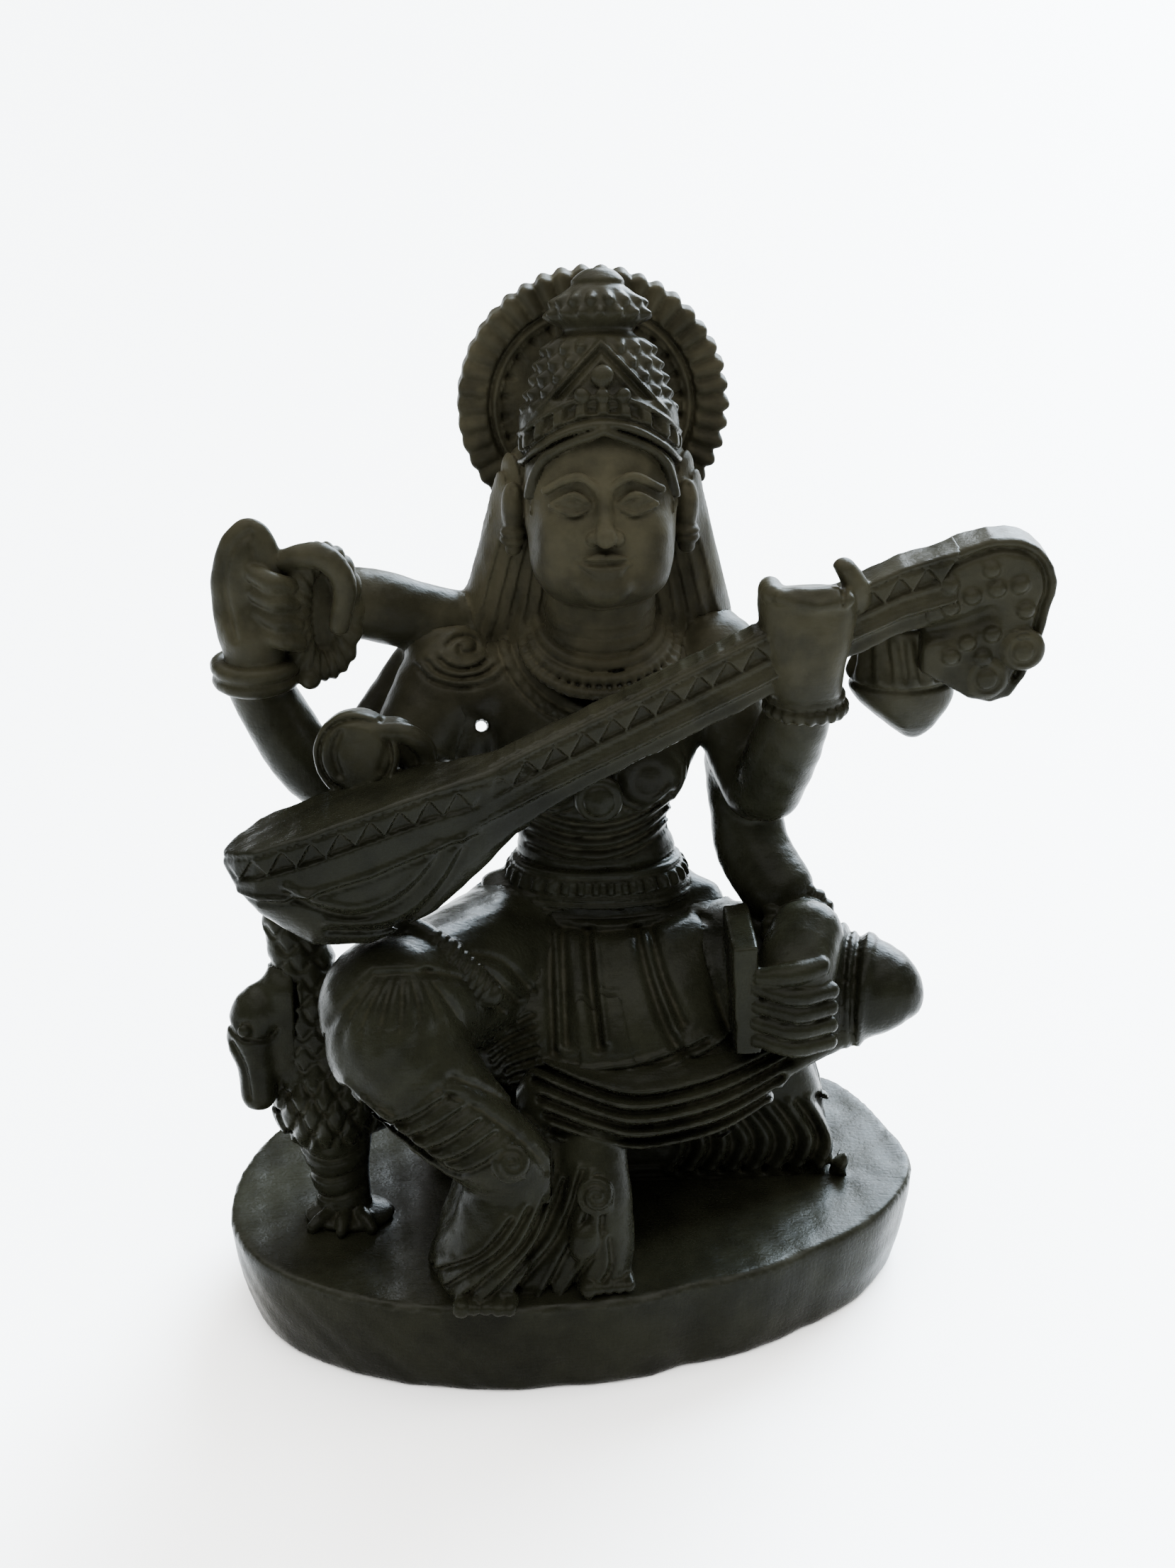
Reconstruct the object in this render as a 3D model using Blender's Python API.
"""Carved stone figure of a seated, four-armed veena player, 200 mm tall, on an oval plinth.

Blender 4.5, metres, +Z up.  +X is the figure's left hand side, -Y is the front.
The origin is the middle of the plinth's underside.

The figure is one carving, divided here at its natural carving boundaries.  Every
sub-part is a closed solid of its own.  A sub-part later in the list SUB_PARTS is cut
back from the earlier ones, so that CLEARANCE is left between the two.
"""
import math

import bmesh
import bpy
from mathutils import Matrix, Vector
from mathutils.geometry import interpolate_bezier

MM = 0.001
CLEARANCE = 0.35

# Driving dimensions, in millimetres
PLINTH_TOP = 20.0
SEAT_TOP = 50.0
LAP_TOP = 79.0
SHOULDER_Z = 128.0
MID_X = 2.6
BODY_Y = 9.0
HALO_CENTRE = (2.1, 172.6)
HALO_RADIUS = 25.5
HEAD_CENTRE = Vector((MID_X, 2.9, 157.4))
HEAD_TILT = -18.0            # degrees about X: the face looks a little upward
HALO_FRONT = 23.0
HALO_BACK = 29.0

# The veena's fingerboard, as a straight beam from the bowl to the scroll
BEAM_START = Vector((-40.0, -31.0, 107.0))
BEAM_END = Vector((60.0, -14.5, 150.0))
BEAM_DEPTH = 8.0

DARK_STONE = {"color": (0.030, 0.033, 0.028, 1.0), "roughness": 0.42}
POLISHED_STONE = {"color": (0.040, 0.043, 0.034, 1.0), "roughness": 0.38}
DUSTY_STONE = {"color": (0.052, 0.050, 0.036, 1.0), "roughness": 0.55}


# ---------------------------------------------------------------- shapes

def finish(mesh):
    """Turn every face outward and return the mesh in metres."""
    bmesh.ops.recalc_face_normals(mesh, faces=mesh.faces)
    bmesh.ops.scale(mesh, vec=(MM, MM, MM), verts=mesh.verts)
    return mesh


def skin(rings):
    """Closed skin of triangles over a stack of rings that have the same number of points."""
    mesh = bmesh.new()
    loops = [[mesh.verts.new(point) for point in ring] for ring in rings]
    count = len(loops[0])
    for lower, upper in zip(loops, loops[1:]):
        for i in range(count):
            j = (i + 1) % count
            mesh.faces.new((lower[i], lower[j], upper[j]))
            mesh.faces.new((lower[i], upper[j], upper[i]))
    mesh.faces.new(loops[0])
    mesh.faces.new(loops[-1])
    return finish(mesh)


def smooth_path(points, steps):
    """Points on a smooth curve that passes through all the given ones."""
    path = []
    last = len(points) - 1
    for i in range(last):
        before = points[max(i - 1, 0)]
        after = points[min(i + 2, last)]
        start = points[i]
        end = points[i + 1]
        handle_1 = start + (end - before) / 6
        handle_2 = end - (after - start) / 6
        path += interpolate_bezier(start, handle_1, handle_2, end, steps + 1)[:-1]
    path.append(points[-1])
    return path


def limb(points, radii, grow, flat=1.0, sides=10, steps=2):
    """Round-ended limb along a smooth path.  flat squeezes it along its own side axis."""
    path = smooth_path([Vector(point) for point in points], steps)
    spans = len(points) - 1
    sizes = []
    for i in range(len(path)):
        place = i / (len(path) - 1) * spans
        low = min(int(place), spans - 1)
        share = place - low
        sizes.append(radii[low] * (1 - share) + radii[low + 1] * share + grow)
    side = None
    frames = []
    for i, point in enumerate(path):
        ahead = path[min(i + 1, len(path) - 1)]
        behind = path[max(i - 1, 0)]
        along = (ahead - behind).normalized()
        if side is None:
            side = along.orthogonal().normalized()
        side = (side - along * side.dot(along)).normalized()
        frames.append((point, along, side, along.cross(side)))
    rings = []
    first = frames[0]
    final = frames[-1]
    stations = [(first[0] - first[1] * sizes[0] * 0.55, first, sizes[0] * 0.55)]
    stations += [(frame[0], frame, size) for frame, size in zip(frames, sizes)]
    stations += [(final[0] + final[1] * sizes[-1] * 0.55, final, sizes[-1] * 0.55)]
    for centre, frame, size in stations:
        ring = []
        for k in range(sides):
            turn = 2 * math.pi * k / sides
            ring.append(centre + frame[2] * math.cos(turn) * size * flat + frame[3] * math.sin(turn) * size)
        rings.append(ring)
    return skin(rings)


def stack(levels, grow, sides=16, square=1.0):
    """Solid of oval levels (z, x, y, half width, half depth).  square under 1 fills the corners."""
    rings = []
    last = len(levels) - 1
    for i, (z, x, y, half_width, half_depth) in enumerate(levels):
        if i == 0:
            z -= grow
        if i == last:
            z += grow
        ring = []
        for k in range(sides):
            turn = 2 * math.pi * (k + 0.5) / sides
            c = math.cos(turn)
            s = math.sin(turn)
            across = math.copysign(abs(c) ** square, c) * (half_width + grow)
            deep = math.copysign(abs(s) ** square, s) * (half_depth + grow)
            ring.append((x + across, y + deep, z))
        rings.append(ring)
    return skin(rings)


def ball(centre, radii, grow, tilt=(0.0, 0.0, 0.0)):
    """Ellipsoid; tilt is in degrees about X, Y and Z."""
    mesh = bmesh.new()
    bmesh.ops.create_uvsphere(mesh, u_segments=12, v_segments=8, radius=1.0)
    size = Matrix.Diagonal([radius + grow for radius in radii]).to_4x4()
    turn = Matrix.Identity(4)
    for axis, angle in zip("XYZ", tilt):
        turn = Matrix.Rotation(math.radians(angle), 4, axis) @ turn
    bmesh.ops.transform(mesh, matrix=Matrix.Translation(centre) @ turn @ size, verts=mesh.verts)
    return finish(mesh)


def leaning_stack(levels, grow, sides=16):
    """Oval levels about the middle of the head, tilted back with it."""
    mesh = stack(levels, grow, sides)
    turn = Matrix.Rotation(math.radians(HEAD_TILT), 4, "X")
    bmesh.ops.transform(mesh, matrix=Matrix.Translation(HEAD_CENTRE * MM) @ turn, verts=mesh.verts)
    return mesh


def ring_solid(centre, major, minor, half_height, grow, tilt=(0.0, 0.0, 0.0), oval=1.0, sides=16):
    """Closed ring of rectangular section about Z: a band, a bangle or a bead loop.  oval narrows it in X."""
    mesh = bmesh.new()
    rows = []
    outer = major + minor + grow
    inner = major - minor - grow
    half = half_height + grow
    for k in range(sides):
        turn = 2 * math.pi * k / sides
        c = math.cos(turn)
        s = math.sin(turn)
        section = ((outer, -half), (outer, half), (inner, half), (inner, -half))
        rows.append([mesh.verts.new((r * c * oval, r * s, z)) for r, z in section])
    for k in range(sides):
        here = rows[k]
        there = rows[(k + 1) % sides]
        for i in range(4):
            j = (i + 1) % 4
            mesh.faces.new((here[i], there[i], there[j], here[j]))
    turn = Matrix.Identity(4)
    for axis, angle in zip("XYZ", tilt):
        turn = Matrix.Rotation(math.radians(angle), 4, axis) @ turn
    bmesh.ops.transform(mesh, matrix=Matrix.Translation(centre) @ turn, verts=mesh.verts)
    return finish(mesh)


def slab(outline, front, back, grow, lean=0.0):
    """Upright plate: an outline of (x, z) points between two depths.  lean moves Y per unit X."""
    middle_x = sum(point[0] for point in outline) / len(outline)
    middle_z = sum(point[1] for point in outline) / len(outline)
    rings = []
    for y in (front - grow, back + grow):
        ring = []
        for x, z in outline:
            offset = Vector((x - middle_x, z - middle_z))
            offset += offset.normalized() * grow * 1.4
            ring.append((middle_x + offset.x, y + lean * offset.x, middle_z + offset.y))
        rings.append(ring)
    return skin(rings)


def arc(centre_x, centre_z, radius, start, end, count):
    """Points of a round stretch of an outline, from one angle in degrees to another."""
    points = []
    for i in range(count):
        turn = math.radians(start + (end - start) * i / (count - 1))
        points.append((centre_x + radius * math.cos(turn), centre_z + radius * math.sin(turn)))
    return points


# ---------------------------------------------------------------- base

def plinth(grow):
    """Hand-cut oval slab, a little narrower at its foot."""
    outline = [(66.9, 4), (62, 24), (56, 39), (40, 44), (10, 45), (-25, 44), (-50, 38), (-65, 22)]
    outline += [(-70.5, 4), (-70.5, -11), (-64, -25), (-49, -36), (-29, -42), (-7, -42.4)]
    outline += [(18, -36.6), (42, -26), (57, -14.5)]
    rings = []
    for z, scale in ((-grow, 0.94), (PLINTH_TOP - 2, 0.998), (PLINTH_TOP + grow, 0.98)):
        factor = scale + grow / 60
        rings.append([(1.0 + (x - 1.0) * factor, y * factor, z) for x, y in outline])
    return skin(rings)


def seat(grow):
    levels = [(PLINTH_TOP + CLEARANCE, 10, 17, 41, 18), (34, 9, 17, 38, 17), (SEAT_TOP, 6, 17, 37, 16)]
    return stack(levels, grow, sides=16, square=0.55)


# ---------------------------------------------------------------- body

def lap(grow):
    levels = [(47, 6, 6, 26, 18), (53, 5, 3, 33, 25), (63, 4, 4, 33, 26), (72, 3, 6, 28, 20)]
    levels += [(LAP_TOP, 3, 8, 23, 13)]
    return stack(levels, grow, sides=18, square=0.85)


def torso(grow):
    levels = [(91, 2, BODY_Y, 14.5, 10.0), (97, 1, BODY_Y, 14.8, 10.5), (106, 1.5, 6, 19, 13)]
    levels += [(114, 1.8, 6.5, 21.5, 12.5), (122, 1.8, 9, 25, 10.5), (SHOULDER_Z + 1, 2, 10, 25.5, 9)]
    levels += [(134, 2.4, 10, 15, 7)]
    return stack(levels, grow, sides=18)


def waist(grow):
    levels = [(LAP_TOP + CLEARANCE, 3, 8, 20, 11), (85, 2.5, 8, 16.5, 10.5), (91 - CLEARANCE, 2, BODY_Y, 14.5, 10)]
    return stack(levels, grow)


def waist_belt(grow):
    return ring_solid((2.8, 7.6, 85), 17.0, 1.6, 3.4, grow, tilt=(-4, 0, 0))


def neck(grow):
    return limb([(MID_X, 6, 133), (MID_X, 4, 140), (MID_X, 3, 147)], [9.4, 8.8, 8.6], grow, steps=1)


def necklace(grow):
    return ring_solid((MID_X, 4.5, 134), 12.2, 3.2, 1.6, grow, tilt=(16, 0, 0))


def breast_pendant(grow):
    return ball((1.6, -8.6, 107), (5.2, 2.2, 5.2), grow)


def front_sash(grow):
    return slab([(-4.5, 79), (9, 79), (8, 52), (-3, 52)], -25.5, -22.6, grow)


# ---------------------------------------------------------------- head and crown

def head(grow):
    levels = [(-15.5, 0, -6.6, 4.4, 3.4), (-13, 0, -5.2, 8.8, 6.8), (-7.5, 0, -2.4, 12.4, 10.6)]
    levels += [(0, 0, -0.4, 13.8, 12.6), (7, 0, 0.2, 13.9, 13.0), (12.6, 0, 0.6, 13.4, 12.8)]
    return leaning_stack(levels, grow)


def ear(side):
    def shape(grow):
        return ball((MID_X + side * 15.8, 6, 157), (2.4, 2.6, 6.4), grow)
    return shape


def hair(side):
    """Long lock that falls beside the face to the shoulder."""
    def shape(grow):
        points = [(MID_X + side * 12.6, 13, 169), (MID_X + side * 14.6, 13, 156)]
        points += [(MID_X + side * 16.2, 14, 145), (MID_X + side * 19, 16, 133)]
        return limb(points, [5.2, 6.0, 6.4, 6.0], grow)
    return shape


def back_hair(grow):
    levels = [(130, MID_X, 20, 15, 5), (145, MID_X, 18, 14, 6), (162, MID_X, 17, 12, 6)]
    return stack(levels, grow, sides=14)


def crown_band(grow):
    return leaning_stack([(13.1, 0, 0.8, 14.6, 13.8), (16.5, 0, 1.0, 14.8, 13.6), (20, 0, 1.2, 13.8, 12.6)], grow)


def crown_dome(grow):
    return leaning_stack([(20.5, 0, 1.2, 13.2, 12.0), (26, 0, 1.2, 11.8, 10.8), (31.6, 0, 1.0, 9.0, 8.6)], grow)


def crown_top(grow):
    levels = [(32.1, 0, 0.6, 9.2, 8.0), (35.5, 0, 0.2, 9.4, 8.0), (40, 0, 0, 7.6, 6.8), (44, 0, 0, 3.4, 3.2)]
    return leaning_stack(levels, grow, sides=14)


def halo(grow):
    outline = arc(HALO_CENTRE[0], HALO_CENTRE[1], HALO_RADIUS, -20, 200, 22)
    outline += [(-18.4, 156), (-15, 140), (20, 140), (22.8, 156)]
    return slab(outline, HALO_FRONT, HALO_BACK, grow)


# ---------------------------------------------------------------- right arms (viewer's left)

def right_front_upper_arm(grow):
    return limb([(-25.5, 9, 125.5), (-31, 4, 117), (-36, -2, 104)], [8.0, 7.4, 6.4], grow)


def right_front_forearm(grow):
    return limb([(-38, -9, 104), (-40, -16, 112)], [6.0, 5.4], grow)


def right_front_hand(grow):
    return ball((-39.8, -20.5, 122), (9.6, 5.4, 8.0), grow, tilt=(0, -22, 0))


def right_back_upper_arm(grow):
    return limb([(-31, 17, 125), (-38, 13.5, 116), (-45.5, 8, 107.5)], [4.6, 5.4, 5.4], grow)


def right_back_forearm(grow):
    return limb([(-51, 4.5, 109), (-55.6, 3, 117), (-59.4, 2, 125.6)], [5.4, 5.8, 5.4], grow, steps=1)


def right_back_bangle(grow):
    levels = [(127.4, -60.4, 1, 6.6, 5.6), (129.8, -60.6, 1, 7.4, 6.2), (132.2, -60.6, 1, 6.4, 5.4)]
    return stack(levels, grow, sides=12)


def right_back_hand(grow):
    return limb([(-60, 0, 136), (-60.5, 0, 144), (-60.5, 0, 152)], [6.0, 7.2, 6.2], grow, flat=0.6)


def prayer_beads(grow):
    return ring_solid((-48.4, 2.5, 140.5), 10.0, 3.0, 3.4, grow, tilt=(90, 0, 24), oval=0.62)


def bead_strut(grow):
    """Stone left between the back hand and the shoulder."""
    return limb([(-40, 11, 139), (-30, 14, 135), (-20, 17, 131.5)], [6.4, 6.2, 6.0], grow, steps=1)


# ---------------------------------------------------------------- left arms (viewer's right)

def left_front_upper_arm(grow):
    return limb([(25.5, 9, 126), (28.4, 5, 114), (31.4, -1, 106)], [7.6, 6.6, 6.4], grow)


def left_front_forearm(grow):
    return limb([(33.5, -4.5, 107.5), (35.8, -9, 117), (37.6, -13.5, 126)], [6.4, 6.4, 5.6], grow)


def left_front_bangle(grow):
    levels = [(126, 38.2, -15, 6.8, 6.0), (128.2, 38, -15.6, 7.4, 6.6), (130.4, 37.8, -16, 6.8, 6.0)]
    return stack(levels, grow, sides=12)


def left_front_hand(grow):
    levels = [(131.2, 37.8, -17, 7.2, 6), (138, 38.0, -18.6, 8.2, 7.8), (148, 38.4, -17.5, 9.0, 8.0)]
    levels += [(154.5, 39, -16, 6.8, 5)]
    return stack(levels, grow, sides=12)


def left_back_arm(grow):
    return limb([(29, 8, 105), (31.6, 5, 95), (36, -2, 86.5)], [5.8, 6.4, 6.4], grow)


def left_back_bangle(grow):
    return ball((39.6, -9.0, 81.5), (7.4, 4.6, 5.2), grow, tilt=(0, 30, 0))


def left_back_hand(grow):
    return limb([(39, -17, 80), (36, -22.5, 74), (34.5, -23.5, 67)], [6.8, 7.0, 5.6], grow)


def manuscript(grow):
    return slab([(25.5, 84), (29.4, 85), (30.6, 64), (26.6, 63)], -27.5, -8, grow)


# ---------------------------------------------------------------- legs

def left_knee(grow):
    points = [(30, -2, 67), (44, -7, 67), (53.5, -9.6, 67), (58.4, -11, 66)]
    return limb(points, [13.0, 11.4, 8.0, 3.8], grow, sides=12)


def left_calf(grow):
    points = [(45, -15, 57), (28, -21, 52.5), (8, -25, 51.5), (-8, -26, 53)]
    return limb(points, [5.6, 6.4, 6.4, 5.2], grow, sides=10)


def left_foot(grow):
    return limb([(-1.5, -28, 44), (0.4, -32, 33), (2.8, -34, 22.5)], [5.4, 6.6, 4.0], grow)


def right_thigh(grow):
    return limb([(-19, -3, 71.5), (-29, -19, 73.5), (-37, -30, 75.5)], [13.4, 12.5, 12.6], grow, sides=12)


def right_shin(grow):
    points = [(-35.5, -33, 69.5), (-27.5, -36.5, 59.5), (-18.5, -36.5, 50)]
    return limb(points, [12.2, 9.6, 8.0], grow, sides=12)


def right_foot(grow):
    return limb([(-16.5, -35, 43.5), (-18.5, -38, 34), (-23, -38.5, 24.5)], [6.4, 7.4, 4.2], grow, flat=1.1)


def foot_drape(grow):
    """Cloth that hangs between and behind the feet, down to the plinth."""
    levels = [(PLINTH_TOP + CLEARANCE, -10, -27, 20, 10), (34, -10, -24, 16, 10), (49, -12, -18, 16, 10)]
    return stack(levels, grow, sides=14, square=0.8)


def sash_tail(grow):
    return limb([(-35, -21, 88.5), (-27.5, -25, 84.5), (-20, -27, 78)], [2.4, 3.6, 2.4], grow, flat=0.7)


# ---------------------------------------------------------------- veena

def beam_point(share):
    return BEAM_START.lerp(BEAM_END, share)


def veena_neck(grow):
    """Fingerboard: a beam of four-sided section that grows a little taller toward the scroll."""
    along = (BEAM_END - BEAM_START).normalized()
    rings = []
    for share, half_height, rise in ((0.16, 7.2, 2.0), (0.42, 6.2, 0.2), (1.0, 6.4, 0.0)):
        centre = beam_point(share) + Vector((0, 0, rise))
        if share == 0.16:
            centre = centre - along * grow
        if share == 1.0:
            centre = centre + along * grow
        front = BEAM_DEPTH / 2 + grow
        top = half_height + grow
        corners = ((-front, -top), (front, -top), (front, top), (-front, top))
        rings.append([centre + Vector((0, y, z)) for y, z in corners])
    return skin(rings)


def veena_bowl(grow):
    """Boat-shaped sound bowl with a flat top that follows the beam."""
    stations = ((-64.5, -35, 110.8, 1.4, 2.6), (-59, -34.2, 112.8, 7.4, 13.6), (-50, -33, 115.6, 8.6, 23.6))
    stations += ((-40, -31.8, 118.6, 8.2, 27.0), (-28, -30, 121.4, 6.6, 22.6), (-19, -28.5, 123.6, 5.0, 16.0))
    stations += ((-14, -27.6, 124.8, 4.4, 12.2),)
    rings = []
    last = len(stations) - 1
    for i, (x, y, top, half_depth, drop) in enumerate(stations):
        if i == 0:
            x -= grow
        if i == last:
            x += grow
        wide = half_depth + grow
        high = top + grow
        low = top - drop - grow
        belly = low + (high - low) * 0.42
        ring = [(x, y - wide, high), (x, y + wide, high), (x, y + wide * 0.9, belly)]
        ring += [(x, y + wide * 0.5, low), (x, y - wide * 0.5, low), (x, y - wide * 0.9, belly)]
        rings.append(ring)
    return skin(rings)


def veena_scroll(grow):
    outline = [(60.8, 156.5), (66, 158.4)] + arc(72.5, 148.5, 10.4, 88, -38, 8)
    outline += [(78.5, 135), (76, 130), (71.5, 127.4), (67.6, 128.6), (66.6, 138), (60.8, 140.5)]
    return slab(outline, -17, -7, grow, lean=0.10)


def veena_small_gourd(grow):
    levels = [(118, 59.6, -7, 1.2, 1.2), (122, 58.6, -7, 5.4, 4.6), (128, 57, -7, 9.4, 7.4)]
    levels += [(132, 56, -8, 8.6, 6.4), (138.5, 55.5, -9, 6.6, 5)]
    return stack(levels, grow, sides=12)


def veena_peg(x, z):
    def shape(grow):
        return limb([(x, -4.5, z), (x + 0.8, -15, z - 0.6)], [3.0, 3.4], grow, sides=8, steps=1)
    return shape


def fret_strip(grow):
    """Thin strip along the top of the fingerboard that carries the frets."""
    along = (BEAM_END - BEAM_START).normalized()
    rings = []
    for share, top in ((0.20, 9.2), (0.42, 6.6), (0.72, 6.5)):
        centre = beam_point(share) + Vector((0, 0, top + CLEARANCE))
        if share == 0.20:
            centre = centre - along * grow
        if share == 0.72:
            centre = centre + along * grow
        front = 3.0 + grow
        corners = ((-front, -grow), (front, -grow), (front, 1.2 + grow), (-front, 1.2 + grow))
        rings.append([centre + Vector((0, y, z)) for y, z in corners])
    return skin(rings)


# ---------------------------------------------------------------- bird

def bird_body(grow):
    return ball((-50.5, -3, 43.5), (11.0, 13.5, 11.0), grow, tilt=(-20, 0, 0))


def bird_neck(grow):
    return limb([(-52, -4, 53), (-53.6, -4, 66), (-55.4, -4, 78.5)], [7.4, 7.2, 5.4], grow)


def bird_head(grow):
    return limb([(-63.6, -8, 65), (-64, -10, 55), (-64.4, -11, 47.5)], [4.6, 3.8, 2.8], grow, sides=8)


def bird_leg(grow):
    return limb([(-49.5, -6, 34.5), (-48.2, -8, 25)], [6.0, 4.8], grow, sides=8, steps=1)


def bird_foot(grow):
    levels = [(PLINTH_TOP + CLEARANCE, -47, -11, 9.0, 6.5), (22.6, -47.5, -9.5, 5.6, 4.4)]
    return stack(levels, grow, sides=12)


SUB_PARTS = [
    ("plinth", plinth, DARK_STONE),
    ("seat", seat, DARK_STONE),
    ("lap_drape", lap, DARK_STONE),
    ("torso", torso, DUSTY_STONE),
    ("head", head, DUSTY_STONE),
    ("veena_neck", veena_neck, POLISHED_STONE),
    ("veena_bowl", veena_bowl, POLISHED_STONE),
    ("left_front_hand", left_front_hand, DARK_STONE),
    ("right_front_hand", right_front_hand, DARK_STONE),
    ("waist", waist, DARK_STONE),
    ("waist_belt", waist_belt, DARK_STONE),
    ("neck", neck, DUSTY_STONE),
    ("necklace", necklace, DUSTY_STONE),
    ("breast_pendant", breast_pendant, DARK_STONE),
    ("crown_band", crown_band, DUSTY_STONE),
    ("crown_dome", crown_dome, DUSTY_STONE),
    ("crown_top", crown_top, DUSTY_STONE),
    ("halo", halo, DUSTY_STONE),
    ("ear_right", ear(-1), DUSTY_STONE),
    ("ear_left", ear(1), DUSTY_STONE),
    ("back_hair", back_hair, DUSTY_STONE),
    ("hair_right", hair(-1), DUSTY_STONE),
    ("hair_left", hair(1), DUSTY_STONE),
    ("right_front_upper_arm", right_front_upper_arm, DUSTY_STONE),
    ("right_front_forearm", right_front_forearm, DARK_STONE),
    ("right_back_bangle", right_back_bangle, DARK_STONE),
    ("right_back_hand", right_back_hand, DARK_STONE),
    ("right_back_forearm", right_back_forearm, DARK_STONE),
    ("right_back_upper_arm", right_back_upper_arm, DARK_STONE),
    ("prayer_beads", prayer_beads, DARK_STONE),
    ("bead_strut", bead_strut, DARK_STONE),
    ("left_front_bangle", left_front_bangle, DARK_STONE),
    ("left_front_forearm", left_front_forearm, DARK_STONE),
    ("left_front_upper_arm", left_front_upper_arm, DUSTY_STONE),
    ("left_back_bangle", left_back_bangle, DARK_STONE),
    ("left_back_arm", left_back_arm, DARK_STONE),
    ("manuscript", manuscript, DARK_STONE),
    ("left_back_hand", left_back_hand, DARK_STONE),
    ("left_knee", left_knee, POLISHED_STONE),
    ("left_calf", left_calf, DARK_STONE),
    ("right_thigh", right_thigh, DARK_STONE),
    ("right_shin", right_shin, DARK_STONE),
    ("right_foot", right_foot, DARK_STONE),
    ("left_foot", left_foot, DARK_STONE),
    ("foot_drape", foot_drape, DARK_STONE),
    ("front_sash", front_sash, DARK_STONE),
    ("sash_tail", sash_tail, DARK_STONE),
    ("fret_strip", fret_strip, POLISHED_STONE),
    ("veena_peg_1", veena_peg(69.4, 133.4), DARK_STONE),
    ("veena_peg_2", veena_peg(75.6, 138.5), DARK_STONE),
    ("veena_scroll", veena_scroll, POLISHED_STONE),
    ("veena_small_gourd", veena_small_gourd, DARK_STONE),
    ("bird_body", bird_body, DARK_STONE),
    ("bird_neck", bird_neck, DARK_STONE),
    ("bird_head", bird_head, DARK_STONE),
    ("bird_leg", bird_leg, DARK_STONE),
    ("bird_foot", bird_foot, DARK_STONE),
]


# ---------------------------------------------------------------- assembly

def make_material(name, look):
    material = bpy.data.materials.new(name)
    material.use_nodes = True
    shader = material.node_tree.nodes["Principled BSDF"]
    shader.inputs["Base Color"].default_value = look["color"]
    shader.inputs["Roughness"].default_value = look["roughness"]
    shader.inputs["Metallic"].default_value = 0.0
    return material


def mesh_object(name, shape):
    mesh = bpy.data.meshes.new(name)
    shape.to_mesh(mesh)
    shape.free()
    piece = bpy.data.objects.new(name, mesh)
    bpy.context.scene.collection.objects.link(piece)
    return piece


def box_of(piece, margin):
    corners = [vertex.co for vertex in piece.data.vertices]
    low = [min(corner[i] for corner in corners) - margin for i in range(3)]
    high = [max(corner[i] for corner in corners) + margin for i in range(3)]
    return low, high


def boxes_meet(one, other):
    return all(one[0][i] < other[1][i] and other[0][i] < one[1][i] for i in range(3))


def keep_largest_body(mesh):
    """Remove the offcuts that a cut leaves beside the main body."""
    shape = bmesh.new()
    shape.from_mesh(mesh)
    waiting = set(shape.faces)
    bodies = []
    while waiting:
        body = []
        edge_of_body = [waiting.pop()]
        while edge_of_body:
            face = edge_of_body.pop()
            body.append(face)
            for edge in face.edges:
                for other in edge.link_faces:
                    if other in waiting:
                        waiting.discard(other)
                        edge_of_body.append(other)
        bodies.append(body)
    bodies.sort(key=lambda body: sum(face.calc_area() for face in body))
    offcuts = [face for body in bodies[:-1] for face in body]
    bmesh.ops.delete(shape, geom=offcuts, context="FACES")
    shape.to_mesh(mesh)
    shape.free()


def cut_clear(piece, cutters):
    """Cut the piece back from its neighbours, one exact Boolean for each."""
    for i, cutter in enumerate(cutters):
        cut = piece.modifiers.new("clearance_%d" % i, "BOOLEAN")
        cut.operation = "DIFFERENCE"
        cut.solver = "EXACT"
        cut.object = cutter
    bpy.context.view_layer.update()
    graph = bpy.context.evaluated_depsgraph_get()
    result = bpy.data.meshes.new_from_object(piece.evaluated_get(graph))
    piece.modifiers.clear()
    keep_largest_body(result)
    piece.data = result
    for cutter in cutters:
        bpy.data.objects.remove(cutter)


def build():
    for old in list(bpy.data.objects):
        bpy.data.objects.remove(old)
    finished = []
    for name, shape, look in SUB_PARTS:
        piece = mesh_object(name, shape(0.0))
        box = box_of(piece, CLEARANCE * MM)
        cutters = []
        for other_shape, other_box in finished:
            if boxes_meet(box, other_box):
                cutter = mesh_object("cutter", other_shape(CLEARANCE))
                cutter.hide_render = True
                cutter.display_type = "WIRE"
                cutters.append(cutter)
        finished.append((shape, box))
        if cutters:
            cut_clear(piece, cutters)
        piece.data.name = name
        piece.data.materials.clear()
        piece.data.materials.append(make_material(name, look))
        piece.data.shade_smooth()
        piece.data.set_sharp_from_angle(angle=math.radians(35))


build()
